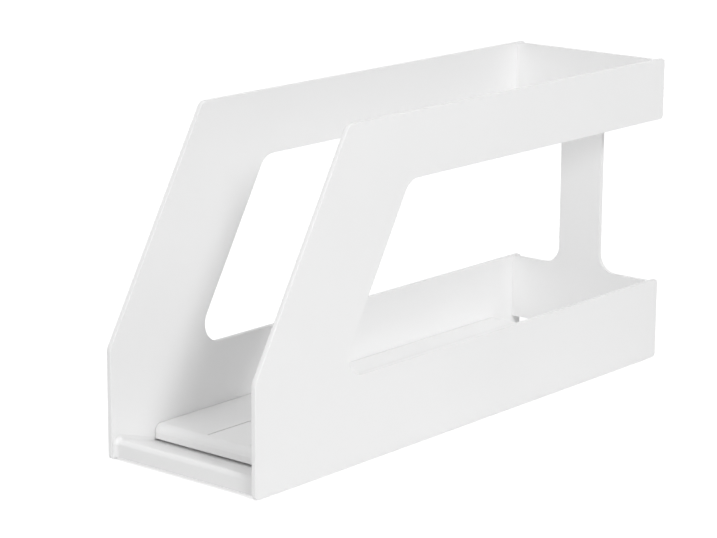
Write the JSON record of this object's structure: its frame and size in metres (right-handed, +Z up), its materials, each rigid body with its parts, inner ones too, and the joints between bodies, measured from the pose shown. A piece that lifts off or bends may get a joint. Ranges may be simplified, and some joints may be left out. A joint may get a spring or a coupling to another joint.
{
  "type": "magazine file",
  "caption": "White desk magazine file of flat moulded panels: sloping front, side windows open to the rear, centre-post back, low front lip and a lift-out raised floor plate.",
  "frame": {"origin": "centre of the overall box's bottom face, on the surface that the feet stand on", "axes": "+X to the right seen from the open front, the open front faces -Y, +Z up"},
  "size_m": [0.092, 0.316, 0.1608],
  "materials": {
    "panels": "fine matte moulding texture",
    "tray": "fine matte moulding texture",
    "plate": "fine matte moulding texture",
    "strip": "soft matte",
    "feet": "matte"
  },
  "bodies": {
    "file_body": {"left_side_panel": "panels", "right_side_panel": "panels", "back_panel": "panels", "base_tray": "tray", "feet": "feet"},
    "floor_insert": {"floor_plate": "plate", "grip_strip": "strip"}
  },
  "joints": [
    {"name": "plate_lift", "type": "slide", "parent": "file_body", "child": "floor_insert", "axis": [0, 0, 1], "range_m": [0, 0.16]}
  ]
}
